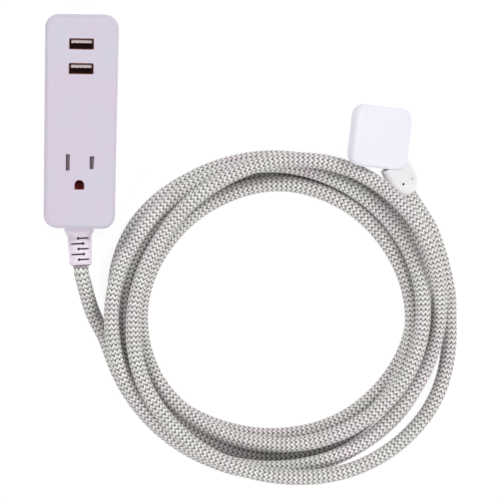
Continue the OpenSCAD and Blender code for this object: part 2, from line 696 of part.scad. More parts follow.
// Least distance between the skins of two places on the coil that are a third of a turn or more apart.
gap_step = 3;
gap_angles = [for (a = [coil_first:gap_step:coil_last]) a];
gap_points = [for (a = gap_angles) coil_point(a)];
function gap_from(i) = let (skip = 120 / gap_step)
    i + skip >= len(gap_points) ? 1000 : min([for (j = [i + skip:len(gap_points) - 1])
        norm(gap_points[j] - gap_points[i])]);
coil_gap = min([for (i = [0:len(gap_points) - 1]) gap_from(i)]) - cord_diameter;
echo("least gap of the coil to itself", coil_gap);

// Where the plug lies: the middle of its face, and how it leans and turns.
plug_middle = coil_centre + [54.6, 97.3, 26.8];

function turned(p) = let (x = p.x * cos(plug_lean) + p.z * sin(plug_lean))
    [x * cos(plug_turn) - p.y * sin(plug_turn), x * sin(plug_turn) + p.y * cos(plug_turn),
        p.z * cos(plug_lean) - p.x * sin(plug_lean)];

neck_z = -0.6 - plug_thickness / 2;
neck_root = [plug_side / 2 - 6, 3 - plug_side / 2, neck_z];
neck_end = [plug_side / 2 + 4.2, -plug_side / 2 - 10.9, neck_z];
neck_turn = atan2(neck_end.y - neck_root.y, neck_end.x - neck_root.x);
neck_length = norm(neck_end - neck_root);
neck_tip = plug_middle + turned(neck_end);
neck_heading = turned([cos(neck_turn), sin(neck_turn), 0]);

half_back = cord_diameter / 2;
block_lead_route = concat([relief_tip, relief_tip + half_back * relief_heading],
    [for (p = [[1.9, -10, -1.6], [3.6, -16.3, -3.2], [5.7, -22.8, -4.9], [8.2, -28.6, -6.6],
        [11.1, -34, -8]]) relief_tip + p],
    [coil_tail_in - half_back * start_heading, coil_tail_in]);

plug_lead_route = concat([coil_tail_out, coil_tail_out + half_back * end_heading],
    [for (p = [[89.6, 22, 5.4], [87.2, 31.5, 6.8], [84, 41, 8.4], [80.3, 50, 10]]) coil_centre + p],
    [neck_tip + half_back * neck_heading, neck_tip]);

module block_lead() color("gainsboro") tube(block_lead_route, cord_radius, 8);

module cord_coil() color("gainsboro") tube(coil_route, cord_radius, 6);

module plug_lead() color("gainsboro") tube(plug_lead_route, cord_radius, 8);

// ---- Plug ----------------------------------------------------------------------------------------

plug_corner = 6.8;
plug_edge = 2.5;
core_depth = 2.4;
core_proud = 0.6;
core_half_x = blade_pitch / 2 + 4;
core_y0 = -ground_offset + 4 - 4.2;
core_y1 = 4 + blade_width / 2 + 2;
plug_blade_y = 4;
plug_ground_y = plug_blade_y - ground_offset;

module on_plug() translate(plug_middle) rotate([0, 0, plug_turn]) rotate([0, plug_lean, 0]) children();

// Flat moulding with soft edges, open at the back for the core, with a mouth for the neck.
module plug_housing() color("ghostwhite") on_plug() difference() {
    hull() for (x = [-1, 1], y = [-1, 1])
        translate([x * (plug_side / 2 - plug_corner), y * (plug_side / 2 - plug_corner), 0])
            corner_post(plug_corner, plug_edge, -plug_thickness, 0);
    slab(-core_half_x - fit_gap, core_half_x + fit_gap, core_y0 - fit_gap, core_y1 + fit_gap,
        -plug_thickness - 1, -core_depth);
    along_neck() translate([0, 0, -0.1]) linear_extrude(30)
        rounded_rect(neck_root_height + 0.2, neck_root_width + 0.2, neck_round);
}

// Z runs along the neck's axis, X across the plug's thickness.
module along_neck() translate(neck_root) rotate([0, 0, neck_turn]) rotate([0, 90, 0]) children();

// Hard insert that holds the blades and the ground pin.
module plug_core() color("whitesmoke") on_plug() difference() {
    slab(-core_half_x, core_half_x, core_y0, core_y1, -plug_thickness - core_proud, -core_depth - 0.1);
    for (x = [-1, 1]) slab(x * blade_pitch / 2 - blade_thickness / 2 - 0.05,
        x * blade_pitch / 2 + blade_thickness / 2 + 0.05, plug_blade_y - blade_width / 2 - 0.05,
        plug_blade_y + blade_width / 2 + 0.05, -plug_thickness - 2, -core_depth - 1.6);
    translate([0, plug_ground_y, -plug_thickness - 2])
        cylinder(r = pin_shank_radius + 0.05, h = plug_thickness - core_depth + 0.4);
    for (p = crimp_places) translate([p.x, p.y, -core_depth - 1.65]) cylinder(r = crimp_radius + 0.1, h = 3);
}

neck_root_width = 17;
neck_root_height = 6.8;
neck_round = 3.2;
neck_taper = 5.5;
neck_shoulder = 2.6;
neck_shoulder_width = 13;
neck_hole_z = 11;
neck_holes = [[-1.7, 1.3], [4.2, 0.9]];
crimp_radius = 1.2;
crimp_places = [[-blade_pitch / 2, plug_blade_y], [blade_pitch / 2, plug_blade_y], [0, plug_ground_y]];

// Flexible neck, drawn from the flat moulding to the round cord, with two core holes in its upper side.
module plug_relief() color("ghostwhite") on_plug() along_neck() difference() {
    union() {
        hull() {
            linear_extrude(neck_length - neck_taper)
                rounded_rect(neck_root_height, neck_root_width, neck_round);
            neck_shoulder_slice();
        }
        hull() {
            neck_shoulder_slice();
            translate([0, 0, neck_length - 0.6]) cylinder(r = cord_radius + 0.7, h = 0.55);
        }
    }
    for (hole = neck_holes) translate([-neck_root_height / 2, hole[0], neck_hole_z]) rotate([0, 90, 0])
        cylinder(d = hole[1], h = 1.6, center = true, $fn = 24);
}

module neck_shoulder_slice() translate([0, 0, neck_length - neck_shoulder]) linear_extrude(0.3)
    rounded_rect(neck_root_height, neck_shoulder_width, neck_round);

module plug_blade(x) on_plug() translate([x, plug_blade_y, 0]) difference() {
    union() {
        slab(-blade_thickness / 2, blade_thickness / 2, -blade_width / 2, blade_width / 2,
            -plug_thickness - blade_length + 1, -core_depth - 1.7);
        translate([0, 0, -plug_thickness - blade_length]) rotate([90, 0, 0])
            linear_extrude(blade_width - 1, center = true) polygon([[-blade_thickness / 4, 0],
                [blade_thickness / 4, 0], [blade_thickness / 2, 1.1], [-blade_thickness / 2, 1.1]]);
    }
    translate([0, 0, -plug_thickness - blade_length + 4.2]) rotate([0, 90, 0])
        cylinder(d = 3.2, h = 6, center = true);
}

module neutral_blade() color("silver") plug_blade(-blade_pitch / 2);

module hot_blade() color("silver") plug_blade(blade_pitch / 2);

pin_shank_radius = 2;
pin_shoulder = ground_pin_length - core_proud - 0.1;
pin_top = ground_pin_length + plug_thickness - core_depth - 1.7;

// Round pin with a domed tip and a thinner shank in the core.
module ground_pin() color("silver") on_plug()
    translate([0, plug_ground_y, -plug_thickness - ground_pin_length]) rotate_extrude() intersection() {
        union() {
            translate([0, ground_pin_diameter / 2]) circle(d = ground_pin_diameter, $fn = 48);
            translate([0, ground_pin_diameter / 2])
                square([ground_pin_diameter / 2, pin_shoulder - ground_pin_diameter / 2]);
            translate([0, pin_shoulder - 1]) square([pin_shank_radius, pin_top - pin_shoulder + 1]);
        }
        square([10, 60]);
    }

// Crimped barrels that join the three wires to the blades and the pin, sealed in the moulding.
module plug_crimps() color("goldenrod") on_plug() {
    for (p = crimp_places) translate([p.x, p.y, -core_depth - 1.65]) cylinder(r = crimp_radius, h = 1.3);
}

front_cover();
rear_cover();
cover_screws();
port_shell(port_y[0]);  // port_shell_1
port_shell(port_y[1]);  // port_shell_2
port_tongue(port_y[0]);  // port_tongue_1
port_tongue(port_y[1]);  // port_tongue_2
port_contacts(port_y[0]);  // port_contacts_1
port_contacts(port_y[1]);  // port_contacts_2
charger_board();
transformer();
input_capacitor();
output_capacitor();
control_chip();
inductor();
outlet_carrier();
neutral_contact();
hot_contact();
ground_contact();
shutter();
shutter_spring();
cord_clamp();
clamp_screws();
neutral_wire();
hot_wire();
ground_wire();
block_relief();
cord_entry();
block_lead();
cord_coil();
plug_lead();
plug_housing();
plug_core();
plug_relief();
neutral_blade();
hot_blade();
ground_pin();
plug_crimps();
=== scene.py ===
"""The finish of a braided extension cord: a power block, a loosely coiled cord and a flat plug."""
import math

import bmesh
import bpy
from mathutils import Matrix, Vector


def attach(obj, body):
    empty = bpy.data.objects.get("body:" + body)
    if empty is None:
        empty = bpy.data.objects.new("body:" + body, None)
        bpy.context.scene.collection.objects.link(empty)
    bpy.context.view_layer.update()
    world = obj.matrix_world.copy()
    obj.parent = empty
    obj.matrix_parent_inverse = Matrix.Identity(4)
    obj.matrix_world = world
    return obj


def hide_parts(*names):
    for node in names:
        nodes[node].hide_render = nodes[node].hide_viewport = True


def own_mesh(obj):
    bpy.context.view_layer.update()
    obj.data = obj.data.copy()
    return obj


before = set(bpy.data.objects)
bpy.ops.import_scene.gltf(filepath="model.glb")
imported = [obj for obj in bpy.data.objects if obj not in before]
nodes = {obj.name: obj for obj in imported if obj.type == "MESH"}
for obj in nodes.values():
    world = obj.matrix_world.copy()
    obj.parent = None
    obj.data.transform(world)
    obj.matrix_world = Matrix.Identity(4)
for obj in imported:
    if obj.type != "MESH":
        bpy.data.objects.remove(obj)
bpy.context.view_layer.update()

# ---- Camera -------------------------------------------------------------------------------------
# A long lens looks straight down on the cord, which lies on a white table. It is turned a little about
# its line of sight, so that the block stands 0.9 degrees off upright in its view.

MM = 0.001
block_length = 114.4
block_thickness = 27

# Where the block's middle lies in a view of 500 by 500 pixels, from its left and from its top, and the
# scale at the block's face.
view_pixels = 500
block_middle_u = 80.3
block_middle_v = 121.2
pixels_per_mm = 1.874

# The camera's height in metres above the block's face.
camera_distance = 5.5
camera_roll = math.radians(0.9)
sensor_width = 36

across = (view_pixels / 2 - block_middle_u) / pixels_per_mm * MM
down = (view_pixels / 2 - block_middle_v) / pixels_per_mm * MM
aim = Matrix.Rotation(camera_roll, 3, "Z") @ Vector((across, -down, 0))
camera_data = bpy.data.cameras.new("camera")
camera_data.sensor_width = sensor_width
camera_data.lens = sensor_width * camera_distance / (view_pixels / pixels_per_mm * MM)
camera_data.clip_end = 20
camera = bpy.data.objects.new("camera", camera_data)
camera.location = aim + Vector((0, 0, block_thickness * MM + camera_distance))
camera.rotation_euler = (0, 0, camera_roll)
bpy.context.scene.collection.objects.link(camera)
bpy.context.scene.camera = camera

# ---- Braided cord -------------------------------------------------------------------------------
# Three insulated wires in a round textile braid, 8.2 mm across. It leaves the block, lies in a loose
# coil of five and a half turns, and rises to the plug's neck. One tube follows the whole route.

cord_diameter = 8.2
cord_radius = cord_diameter / 2
table_clearance = 0.1

# Where the cord leaves the strain relief, which bends a little towards the coil.
relief_length = 20
relief_bend = math.radians(4)
relief_pivot = Vector((0, -block_length / 2, block_thickness / 2))
relief_heading = Vector((math.sin(relief_bend), -math.cos(relief_bend), 0))
relief_tip = relief_pivot + relief_length * relief_heading

# The coil's outer oval, and the angles in degrees at which the cord enters and leaves it. They go on
# counting from turn to turn.
coil_centre = Vector((107.1, -103.3, 0))
coil_half_x = 95
coil_half_y = 89.1
coil_first = 195
coil_last = 2160
coil_step = 5

# For each turn, from its left side and then every 30 degrees: how far the cord's centreline is inside
# the coil's outer oval, and how high it is above the table.
lay_start = 180
lay_step = 30
turn_lay = [
    [[2.5, 4.2], [4.8, 4.2], [5.8, 4.2], [6, 4.2], [9.5, 4.2], [11, 4.2],
     [13, 4.2], [9, 4.2], [5.5, 4.2], [3.5, 4.2], [3, 4.2], [2.5, 4.2]],
    [[8.5, 4.2], [17.5, 4.2], [23.5, 4.2], [26, 4.2], [26.5, 4.2], [26, 4.2],
     [22.5, 4.2], [18.5, 4.2], [14.5, 4.2], [12.5, 4.2], [12, 4.2], [12, 5.5]],
    [[13, 12.5], [12.5, 12], [15, 8.5], [15, 4.2], [18, 8], [21, 11.8],
     [23, 13], [22.5, 12.3], [19.5, 11.5], [17.5, 11.5], [19.5, 9.5], [21.5, 4.2]],
    [[21.5, 4.2], [21, 15], [21.5, 14.5], [21, 12], [20.5, 17], [19, 20.3],
     [17.5, 20], [14.5, 17], [11, 14], [7.5, 12.3], [6.5, 12.6], [6.5, 12.6]],
    [[6, 18.5], [6, 18], [7, 13.4], [8.5, 12.8], [10, 13.1], [11.5, 13.3],
     [9, 14], [3.8, 27], [1.6, 21], [5, 21], [12, 20], [18, 12.8]],
    [[18, 20], [13.5, 23], [9, 23], [4.6, 21.3], [-0.3, 15], [-1.4, 4.3], [3.2, 4.2], [3.5, 5]]]
lay_points = [Vector(place) for turn in turn_lay for place in turn]


def blend(a, b, c, d, f):
    """The smooth curve through four points, at the share f of the way from b to c."""
    slope = (c - a) * f
    bend = (2 * a - 5 * b + 4 * c - d) * f ** 2
    turn = (3 * b - a - 3 * c + d) * f ** 3
    return 0.5 * (2 * b + slope + bend + turn)


def along(points, place):
    """The smooth curve through the points, at a place counted in points."""
    i = min(int(place), len(points) - 2)
    before = points[max(i - 1, 0)]
    after = points[min(i + 2, len(points) - 1)]
    return blend(before, points[i], points[i + 1], after, place - i)


def coil_point(angle):
    """The cord's centreline at an angle of the coil."""
    inset, height = along(lay_points, (angle - lay_start) / lay_step)
    a = math.radians(angle)
    r = 1 / math.hypot(math.cos(a) / coil_half_x, math.sin(a) / coil_half_y) - inset
    z = max(height, cord_radius + table_clearance)
    return coil_centre + Vector((r * math.cos(a), r * math.sin(a), z))


# The plug lies on its pins, leaning, and its neck starts at one corner, a little behind the middle of its
# thickness. The plug's own frame has its face at height 0 and the rest below it.
plug_lean = math.radians(23)
plug_turn = math.radians(-6)
plug_side = 33.3
plug_thickness = 9
neck_drop = 0.6
plug_middle = coil_centre + Vector((54.6, 97.3, 26.8))
plug_frame = Matrix.Rotation(plug_turn, 3, "Z") @ Matrix.Rotation(plug_lean, 3, "Y")
neck_height = -neck_drop - plug_thickness / 2
neck_root = Vector((plug_side / 2 - 6, 3 - plug_side / 2, neck_height))
neck_end = Vector((plug_side / 2 + 4.2, -plug_side / 2 - 10.9, neck_height))
neck_axis = (neck_end - neck_root).normalized()
neck_tip = plug_middle + plug_frame @ neck_end
neck_heading = plug_frame @ neck_axis

heading_step = 2
coil_start = coil_point(coil_first)
coil_end = coil_point(coil_last)
start_heading = (coil_point(coil_first + heading_step) - coil_start).normalized()
end_heading = (coil_end - coil_point(coil_last - heading_step)).normalized()
coil_tail_in = coil_start - cord_diameter * start_heading
coil_tail_out = coil_end + cord_diameter * end_heading

# The two leads. Each starts and ends with a short straight stretch.
block_lead = [relief_tip, relief_tip + cord_radius * relief_heading]
block_lead += [relief_tip + Vector(p) for p in (
    (1.9, -10, -1.6), (3.6, -16.3, -3.2), (5.7, -22.8, -4.9), (8.2, -28.6, -6.6), (11.1, -34, -8))]
block_lead += [coil_tail_in - cord_radius * start_heading, coil_tail_in]
plug_lead = [coil_tail_out, coil_tail_out + cord_radius * end_heading]
plug_lead += [coil_centre + Vector(p) for p in (
    (89.6, 22, 5.4), (87.2, 31.5, 6.8), (84, 41, 8.4), (80.3, 50, 10))]
plug_lead += [neck_tip + cord_radius * neck_heading, neck_tip]

# The whole route in fine steps, and how far along it each of them is.
fine_steps = 8
coil_turns = [coil_point(angle) for angle in range(coil_first, coil_last + 1, coil_step)]
route_points = block_lead[:-1] + coil_turns + plug_lead[1:]
fine_total = fine_steps * (len(route_points) - 1)
fine = [along(route_points, i / fine_steps) for i in range(fine_total + 1)]
length_so_far = [0]
for before, after in zip(fine, fine[1:]):
    length_so_far.append(length_so_far[-1] + (after - before).length)
cord_length = length_so_far[-1]

# The braid repeats every 2.65 mm or so, and four rings of the tube go to each repeat.
braid_sides = 20
rings_per_row = 4
row_total = round(cord_length / 2.65)
row_pitch = cord_length / row_total
ring_total = rings_per_row * row_total
ring_step = cord_length / ring_total
zigzag_rise = 0.55
yarn_swell = 0.1
route = []
here = 0
for ring in range(ring_total + 1):
    wanted = ring_step * ring
    while here < len(fine) - 2 and length_so_far[here + 1] < wanted:
        here += 1
    share = (wanted - length_so_far[here]) / (length_so_far[here + 1] - length_so_far[here])
    route.append(fine[here].lerp(fine[here + 1], share))


def braided_tube(name, centres, radius, sides):
    """A closed tube that swells where its pale yarns cross. Its UV map holds the share round it and the
    millimetres along it."""
    mesh = bmesh.new()
    rings = []
    for i, centre in enumerate(centres):
        heading = (centres[min(i + 1, len(centres) - 1)] - centres[max(i - 1, 0)]).normalized()
        side = heading.cross(Vector((0, 0, 1))).normalized()
        top = side.cross(heading)
        ring = []
        for k in range(sides):
            turn = 2 * math.pi * k / sides
            rows = i * ring_step / row_pitch + (k % 2) * zigzag_rise
            r = radius + yarn_swell * (math.sin(2 * math.pi * rows) - 0.5)
            ring.append(mesh.verts.new((centre + r * (math.cos(turn) * side + math.sin(turn) * top)) * MM))
        rings.append(ring)
    layer = mesh.loops.layers.uv.new("braid")
    for i, (near, far) in enumerate(zip(rings, rings[1:])):
        for k in range(sides):
            after = (k + 1) % sides
            face = mesh.faces.new((near[k], near[after], far[after], far[k]))
            face.smooth = True
            corners = ((k, i), (k + 1, i), (k + 1, i + 1), (k, i + 1))
            for loop, (round_it, along_it) in zip(face.loops, corners):
                loop[layer].uv = (round_it / sides, along_it * ring_step)
    mesh.faces.new(rings[0][::-1])
    mesh.faces.new(rings[-1])
    bmesh.ops.recalc_face_normals(mesh, faces=mesh.faces)
    data = bpy.data.meshes.new(name)
    mesh.to_mesh(data)
    mesh.free()
    piece = bpy.data.objects.new(name, data)
    bpy.context.scene.collection.objects.link(piece)
    return piece


class Nodes:
    """A material's node tree, built by short calls."""

    def __init__(self, name):
        self.material = bpy.data.materials.new(name)
        self.material.use_nodes = True
        self.tree = self.material.node_tree
        self.shader = self.tree.nodes["Principled BSDF"]

    def add(self, kind, **settings):
        node = self.tree.nodes.new(kind)
        for key, value in settings.items():
            setattr(node, key, value)
        return node

    def link(self, source, target):
        self.tree.links.new(source, target)

    def place(self):
        return self.add("ShaderNodeTexCoord").outputs["Object"]

    def place_in(self, origin, turn):
        """The place in a piece's own frame, which has this origin and turn."""
        node = self.add("ShaderNodeMapping", vector_type="TEXTURE")
        node.inputs["Location"].default_value = origin * MM
        node.inputs["Rotation"].default_value = turn
        self.link(self.place(), node.inputs["Vector"])
        return node.outputs[0]

    def parts(self, vector):
        """The three numbers of a vector."""
        node = self.add("ShaderNodeSeparateXYZ")
        self.link(vector, node.inputs[0])
        return node.outputs

    def joined(self, first, second):
        """A vector with these two parts, and nothing for the third."""
        node = self.add("ShaderNodeCombineXYZ")
        self.link(first, node.inputs[0])
        self.link(second, node.inputs[1])
        return node.outputs[0]

    def math(self, operation, first, second=None, third=None):
        node = self.add("ShaderNodeMath", operation=operation)
        for socket, value in zip(node.inputs, (first, second, third)):
            if value is None:
                continue
            if hasattr(value, "is_output"):
                self.link(value, socket)
            else:
                socket.default_value = value
        return node.outputs[0]

    def noise(self, vector, scale, detail=2.0):
        node = self.add("ShaderNodeTexNoise")
        node.inputs["Scale"].default_value = scale
        node.inputs["Detail"].default_value = detail
        self.link(vector, node.inputs["Vector"])
        return node.outputs["Fac"]

    def ramp(self, factor, stops):
        node = self.add("ShaderNodeValToRGB")
        while len(node.color_ramp.elements) < len(stops):
            node.color_ramp.elements.new(0.5)
        for element, (place, colour) in zip(node.color_ramp.elements, stops):
            element.position = place
            element.color = (*colour, 1)
        self.link(factor, node.inputs[0])
        return node.outputs[0]

    def cloud(self, scale, low, high, detail=2.0, stops=(0.3, 0.7)):
        """A colour that drifts between two shades over the piece."""
        drift = self.noise(self.place(), scale, detail)
        return self.ramp(drift, ((stops[0], low), (stops[1], high)))

    def times(self, first, second):
        """Two colours multiplied."""
        node = self.add("ShaderNodeMix", data_type="RGBA", blend_type="MULTIPLY")
        node.inputs["Factor"].default_value = 1
        colour_a, colour_b = [socket for socket in node.inputs if socket.type == "RGBA"]
        self.link(first, colour_a)
        self.link(second, colour_b)
        return next(socket for socket in node.outputs if socket.type == "RGBA")

    def colour(self, socket):
        self.link(socket, self.shader.inputs["Base Color"])

    def bump(self, height, strength, distance):
        node = self.add("ShaderNodeBump")
        node.inputs["Strength"].default_value = strength
        node.inputs["Distance"].default_value = distance
        self.link(height, node.inputs["Height"])
        self.link(node.outputs["Normal"], self.shader.inputs["Normal"])

    def grain(self, scale, strength, distance, detail=2.0):
        """A fine unevenness of the skin."""
        self.bump(self.noise(self.place(), scale, detail), strength, distance)

    def surface(self, roughness, metallic=0.0, specular=0.5):
        self.shader.inputs["Roughness"].default_value = roughness
        self.shader.inputs["Metallic"].default_value = metallic
        self.shader.inputs["Specular IOR Level"].default_value = specular

    def uneven_gloss(self, scale, spread, least, detail=2.0):
        """A roughness that drifts a little over the piece."""
        drift = self.noise(self.place(), scale, detail)
        self.link(self.math("MULTIPLY_ADD", drift, spread, least), self.shader.inputs["Roughness"])


def dress(piece, finish):
    """Gives a piece one finish in place of what it has."""
    piece.data.materials.clear()
    piece.data.materials.append(finish.material)


# The braid: pale and grey yarns in zigzag rows across the cord, ten zigzags round it. The yarns are
# twisted from fine fibres, the grooves between them carry painted shade, and the whole is slightly fuzzy.
braid = Nodes("braid")
weave_parts = braid.parts(braid.add("ShaderNodeUVMap", uv_map="braid").outputs[0])
columns = braid.math("MULTIPLY", weave_parts[0], braid_sides)
zigzag = braid.math("PINGPONG", columns, 1)
rows = braid.math("ADD", braid.math("DIVIDE", weave_parts[1], row_pitch),
                  braid.math("MULTIPLY", zigzag, zigzag_rise))
wave = braid.math("SINE", braid.math("MULTIPLY", rows, 2 * math.pi))

# Each yarn stands highest along its middle, and lower where a column of yarns meets the next.
yarn = braid.math("POWER", braid.math("ABSOLUTE", wave), 0.5)
column_wave = braid.math("SINE", braid.math("MULTIPLY", columns, math.pi))
column_round = braid.math("POWER", braid.math("ABSOLUTE", column_wave), 0.4)
yarn_height = braid.math("MULTIPLY", yarn, braid.math("MULTIPLY_ADD", column_round, 0.5, 0.5))

# Fibres run along the yarns, and every stitch has its own shade.
fibres_across = 3.0
fibres_along = 6.0
fibre_space = braid.joined(braid.math("MULTIPLY", columns, fibres_across),
                           braid.math("MULTIPLY", rows, fibres_along))
fibres = braid.noise(fibre_space, 1.0, 3.0)
stitch_cell = braid.joined(braid.math("FLOOR", columns),
                           braid.math("FLOOR", braid.math("MULTIPLY", rows, 2.0)))
stitch_chance = braid.add("ShaderNodeTexWhiteNoise", noise_dimensions="2D")
braid.link(stitch_cell, stitch_chance.inputs["Vector"])

shade_of_yarn = braid.ramp(braid.math("MULTIPLY_ADD", wave, 0.5, 0.5), (
    (0.12, (0.43, 0.41, 0.40)), (0.36, (1.0, 0.985, 0.98))))
# Painted shade: the colour darkens where the yarns stand low, in the grooves between them.
groove_painted_shade = braid.ramp(yarn_height, ((0.2, (0.5, 0.48, 0.47)), (0.6, (1.0, 1.0, 1.0))))
crossing = braid.ramp(braid.math("ADD", zigzag, braid.math("MULTIPLY", wave, 0.35)), (
    (0.0, (0.45, 0.43, 0.42)), (0.3, (1.0, 1.0, 1.0))))
fibre_shade = braid.ramp(fibres, ((0.3, (0.92, 0.92, 0.92)), (0.7, (1.0, 1.0, 1.0))))
stitch_shade = braid.ramp(stitch_chance.outputs[0], ((0.0, (0.86, 0.85, 0.85)), (0.6, (1.0, 1.0, 1.0))))
tint_shade = braid.cloud(45, (1.0, 0.955, 0.975), (0.965, 0.985, 0.955), stops=(0.4, 0.6))
yarn_colour = shade_of_yarn
for shade in (groove_painted_shade, crossing, fibre_shade, stitch_shade, tint_shade):
    yarn_colour = braid.times(yarn_colour, shade)
braid.colour(yarn_colour)
braid.bump(braid.math("MULTIPLY_ADD", fibres, 0.15, yarn_height), 0.6, 0.0003)
braid.surface(0.85, specular=0.25)
braid.shader.inputs["Sheen Weight"].default_value = 0.5
braid.shader.inputs["Sheen Roughness"].default_value = 0.5

cord = braided_tube("braided_cord", route, cord_radius, braid_sides)
dress(cord, braid)
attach(cord, "block")
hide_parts("block_lead", "cord_coil", "plug_lead")

# The sheath goes on through the relief and under the clamp, with the same two yarns.
sheath = Nodes("sheath_braid")
sheath_weave = sheath.add("ShaderNodeTexChecker")
sheath_weave.inputs["Scale"].default_value = 750
sheath_weave.inputs["Color1"].default_value = (0.80, 0.79, 0.785, 1)
sheath_weave.inputs["Color2"].default_value = (0.42, 0.40, 0.395, 1)
sheath.link(sheath.place(), sheath_weave.inputs["Vector"])
sheath.colour(sheath_weave.outputs["Color"])
sheath.grain(1500, strength=0.4, distance=0.0002)
sheath.surface(0.85, specular=0.25)
dress(nodes["cord_entry"], sheath)

# ---- Strain relief ------------------------------------------------------------------------------
# A soft sleeve, moulded in one piece: a flange held in the block's end wall, a collar, and a ribbed tail
# with short slits from alternate sides, which let the cord bend.


def finished(name, finish, body="block", rounded=None, width=0.2):
    """A smooth-shaded copy of a piece in its finish, with the sharp edges that "rounded" picks bevelled."""
    merge_within = 0.002
    flat_within = math.radians(0.3)
    sharp_from = 0.6
    smooth_up_to = math.radians(35)
    piece = bpy.data.objects.new(name + "_finish", nodes[name].data.copy())
    bpy.context.scene.collection.objects.link(piece)
    bpy.ops.object.select_all(action="DESELECT")
    piece.select_set(True)
    bpy.context.view_layer.objects.active = piece
    bpy.ops.object.mode_set(mode="EDIT")
    bpy.ops.mesh.select_mode(type="EDGE")
    bpy.ops.mesh.select_all(action="SELECT")
    bpy.ops.mesh.remove_doubles(threshold=merge_within * MM)
    bpy.ops.mesh.dissolve_limited(angle_limit=flat_within)
    if rounded:
        bpy.ops.mesh.select_all(action="DESELECT")
        mesh = bmesh.from_edit_mesh(piece.data)
        for edge in mesh.edges:
            if edge.calc_face_angle(0) > sharp_from and all(rounded(v.co / MM) for v in edge.verts):
                edge.select_set(True)
        bmesh.update_edit_mesh(piece.data)
        bpy.ops.mesh.bevel(offset=width * MM, segments=3, affect="EDGES")
    bpy.ops.object.mode_set(mode="OBJECT")
    bpy.ops.object.shade_smooth_by_angle(angle=smooth_up_to)
    even = piece.modifiers.new("even", "WEIGHTED_NORMAL")
    even.keep_sharp = True
    bpy.ops.object.modifier_apply(modifier=even.name)
    dress(piece, finish)
    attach(piece, body)
    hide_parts(name)
    return piece


# Pale lilac, with painted shade down in the slits: within 5.3 mm of the cord's middle.
relief_reach = 8
soft_lilac = Nodes("soft_lilac")
relief_parts = soft_lilac.parts(soft_lilac.place_in(relief_pivot, (0, 0, relief_bend)))
from_axis = soft_lilac.math("SQRT", soft_lilac.math(
    "ADD", soft_lilac.math("POWER", relief_parts[0], 2), soft_lilac.math("POWER", relief_parts[2], 2)))
painted_slit_shade = soft_lilac.ramp(soft_lilac.math("DIVIDE", from_axis, relief_reach * MM), (
    (0.66, (0.32, 0.21, 0.26)), (0.735, (1.0, 1.0, 1.0))))
soft_lilac.colour(soft_lilac.times(painted_slit_shade, soft_lilac.cloud(
    90, (0.865, 0.78, 0.885), (0.915, 0.83, 0.93))))
soft_lilac.grain(1800, strength=0.15, distance=0.00006, detail=3.0)
soft_lilac.surface(0.5, specular=0.4)
strain_relief = finished("block_relief", soft_lilac)

# ---- Covers of the block ------------------------------------------------------------------------
# Front and rear covers, moulded in pale lilac plastic with a fine matt skin. They key into each other
# at half height and are held by four screws from the back.

# Edges within this depth of a cover's flat side are rounded.
edge_depth = 0.1


def face_openings(p):
    """The edges of the openings in the face, which all lie within 15 by 52 mm of its middle."""
    return p.z > block_thickness - edge_depth and abs(p.x) < 15 and abs(p.y) < 52


def screw_recesses(p):
    """The edges of the screws' recesses in the back, within 15.5 by 53.5 mm of its middle."""
    return p.z < edge_depth and abs(p.x) < 15.5 and abs(p.y) < 53.5


lilac = Nodes("lilac_plastic")
lilac.colour(lilac.cloud(40, (0.698, 0.611, 0.730), (0.670, 0.634, 0.737), stops=(0.4, 0.6)))
lilac_waves = lilac.math("MULTIPLY", lilac.noise(lilac.place(), 60, 1.0), 0.6)
lilac.bump(lilac.math("ADD", lilac.noise(lilac.place(), 2600), lilac_waves), 0.12, 0.00006)
lilac.uneven_gloss(180, spread=0.12, least=0.5, detail=3.0)
lilac.shader.inputs["Specular IOR Level"].default_value = 0.25
for name, rounded in (("front_cover", face_openings), ("rear_cover", screw_recesses)):
    finished(name, lilac, rounded=rounded, width=0.3)

# Steel for the screws, blades, pin and spring: plated, with fine drawn lines and faint wear.
steel = Nodes("plated_steel")
steel_lines = steel.noise(steel.place(), 900, 3.0)
steel.colour(steel.ramp(steel_lines, ((0.3, (0.60, 0.59, 0.58)), (0.7, (0.74, 0.73, 0.72)))))
steel.bump(steel_lines, 0.05, 0.00002)
steel.uneven_gloss(300, spread=0.2, least=0.2)
steel.shader.inputs["Metallic"].default_value = 1
finished("cover_screws", steel)

# ---- Charging ports -----------------------------------------------------------------------------
# Each port is a sheet-steel shell with two spring leaves, round a moulded tongue with four contacts. It
# stands on the charger board, and its mouth is in the front cover's opening, just under the face.

# Steel coloured dark brown, as painted shade for the deep ports.
shade_painted_steel = Nodes("shade_painted_steel")
shade_painted_steel.colour(shade_painted_steel.cloud(700, (0.20, 0.072, 0.048), (0.27, 0.10, 0.07), detail=3.0))
shade_painted_steel.grain(1500, strength=0.05, distance=0.00002)
shade_painted_steel.surface(0.35, metallic=1.0)
shade_painted_steel.shader.inputs["Specular Tint"].default_value = (0.6, 0.38, 0.32, 1)

# The tongue is pale from 24 mm above the table up to its tip, with painted shade below 21 mm.
tongue_reach = 26
tongue = Nodes("port_tongue")
tongue_height = tongue.parts(tongue.place())[2]
painted_depth_shade = tongue.ramp(tongue.math("DIVIDE", tongue_height, tongue_reach * MM), (
    (0.80, (0.12, 0.042, 0.028)), (0.93, (0.66, 0.58, 0.60))))
tongue.colour(tongue.times(painted_depth_shade, tongue.cloud(500, (0.9, 0.9, 0.9), (1.0, 1.0, 1.0))))
tongue.surface(0.5, specular=0.2)

for number in ("1", "2"):
    finished("port_shell_" + number, shade_painted_steel)
    dress(nodes["port_tongue_" + number], tongue)
    dress(nodes["port_contacts_" + number], shade_painted_steel)

# ---- Outlet -------------------------------------------------------------------------------------
# An insulating block holds two brass blade contacts and a split sleeve for the ground pin. Above it the
# shutter, a sliding plate with two ramps, closes the blade slots until both blades push it aside.


def dyed(name, low, high, roughness):
    """A plastic or a lacquer with a faint cloud in its colour and a moulded skin."""
    finish = Nodes(name)
    finish.colour(finish.cloud(150, low, high, detail=3.0))
    finish.grain(1600, strength=0.08, distance=0.00004)
    finish.surface(roughness)
    return finish


